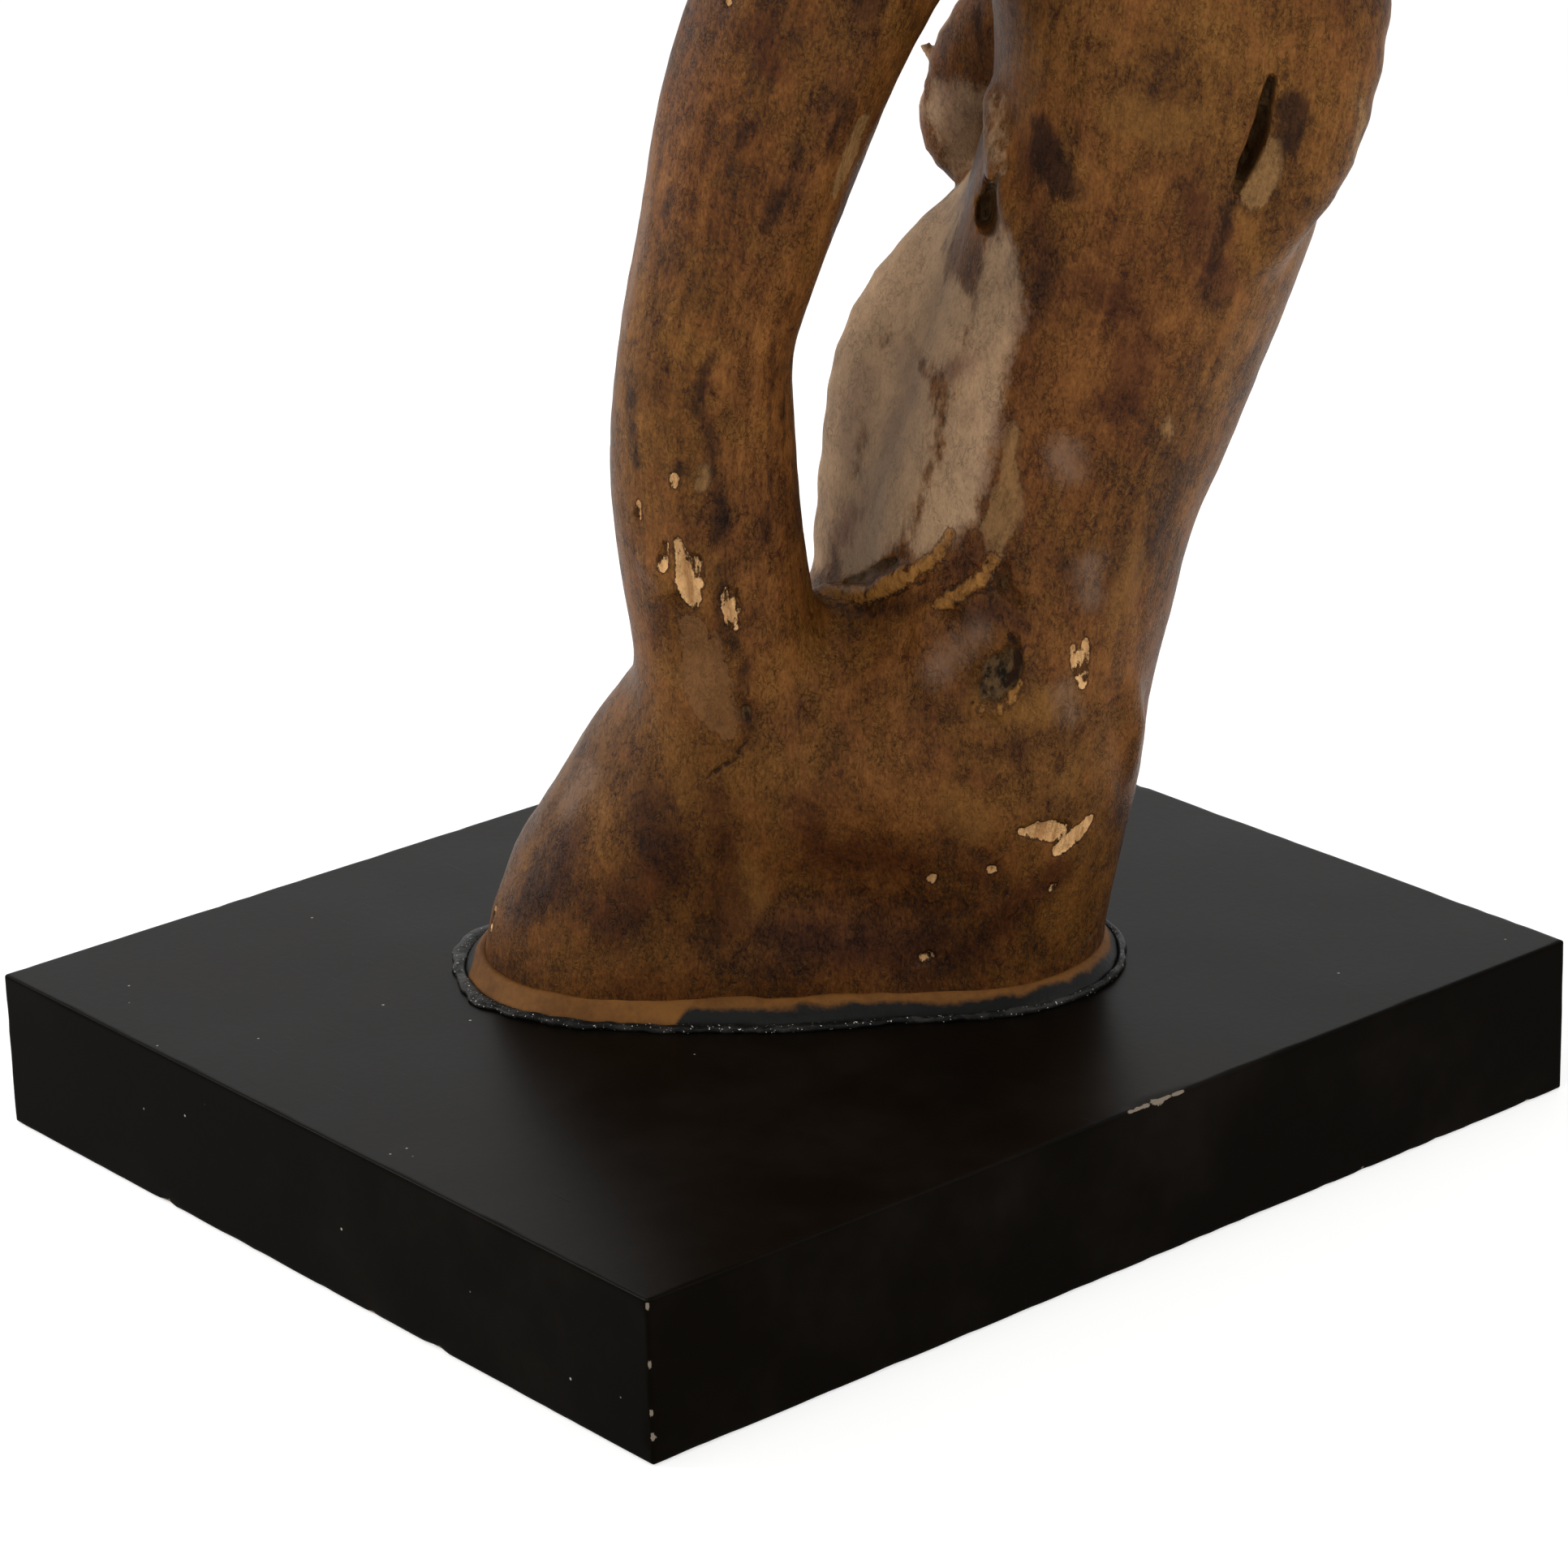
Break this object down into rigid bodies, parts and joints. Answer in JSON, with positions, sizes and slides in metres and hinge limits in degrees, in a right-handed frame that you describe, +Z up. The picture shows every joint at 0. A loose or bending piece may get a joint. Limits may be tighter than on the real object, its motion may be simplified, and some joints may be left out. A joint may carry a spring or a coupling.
{
  "type": "driftwood horse head sculpture",
  "caption": "Tall horse head and neck carved from a forked driftwood root, set on a low black rectangular plinth; stands by its own weight.",
  "frame": {"origin": "centre of the plinth's underside, where the part stands", "axes": "+Z up; X along the plinth's 630 mm sides and Y along its 730 mm sides; the horse looks towards -X and -Y, along the plinth's diagonal"},
  "size_m": [0.63, 0.73, 1.5393],
  "materials": {
    "driftwood": "waxed weathered root wood, satin, with grey-tan and dark stained areas and pale torn chips",
    "black_paint": "satin black paint over board, worn pale along its edges",
    "brown_filler": "smooth brown wood filler",
    "black_sealant": "black sealant, glossy in places"
  },
  "bodies": {
    "root": {"driftwood_horse": "driftwood", "plinth": "black_paint", "foot_filler": "brown_filler", "black_sealant_bead": "black_sealant"}
  },
  "joints": []
}
